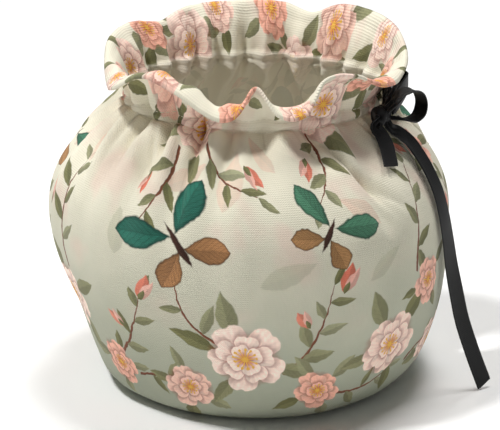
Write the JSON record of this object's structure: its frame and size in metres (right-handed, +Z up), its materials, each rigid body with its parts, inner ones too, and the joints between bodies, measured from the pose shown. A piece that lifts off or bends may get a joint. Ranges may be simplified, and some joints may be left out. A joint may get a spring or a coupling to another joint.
{
  "type": "tea cosy",
  "caption": "Gathered cloth tea cosy with a ruffled collar over a drawstring neck tied in a ribbon bow, open at the base, with a slit for the spout and one for the handle.",
  "frame": {"origin": "on the surface that the cosy stands on, under the middle of its belly", "axes": "+Z up, +X towards the handle slit, -Y towards the front panel"},
  "size_m": [0.2359, 0.2136, 0.1866],
  "materials": {
    "printed_cloth": "matte woven polyester cotton with a printed floral pattern",
    "ribbon": "black grosgrain ribbon with a dull sheen"
  },
  "bodies": {
    "root": {"front_panel": "printed_cloth", "back_panel": "printed_cloth", "ribbon_draw_front": "ribbon", "ribbon_draw_back": "ribbon", "ribbon_knot": "ribbon", "ribbon_loop_upper": "ribbon", "ribbon_loop_lower": "ribbon", "ribbon_tail_short": "ribbon", "ribbon_tail_long": "ribbon"}
  },
  "joints": []
}
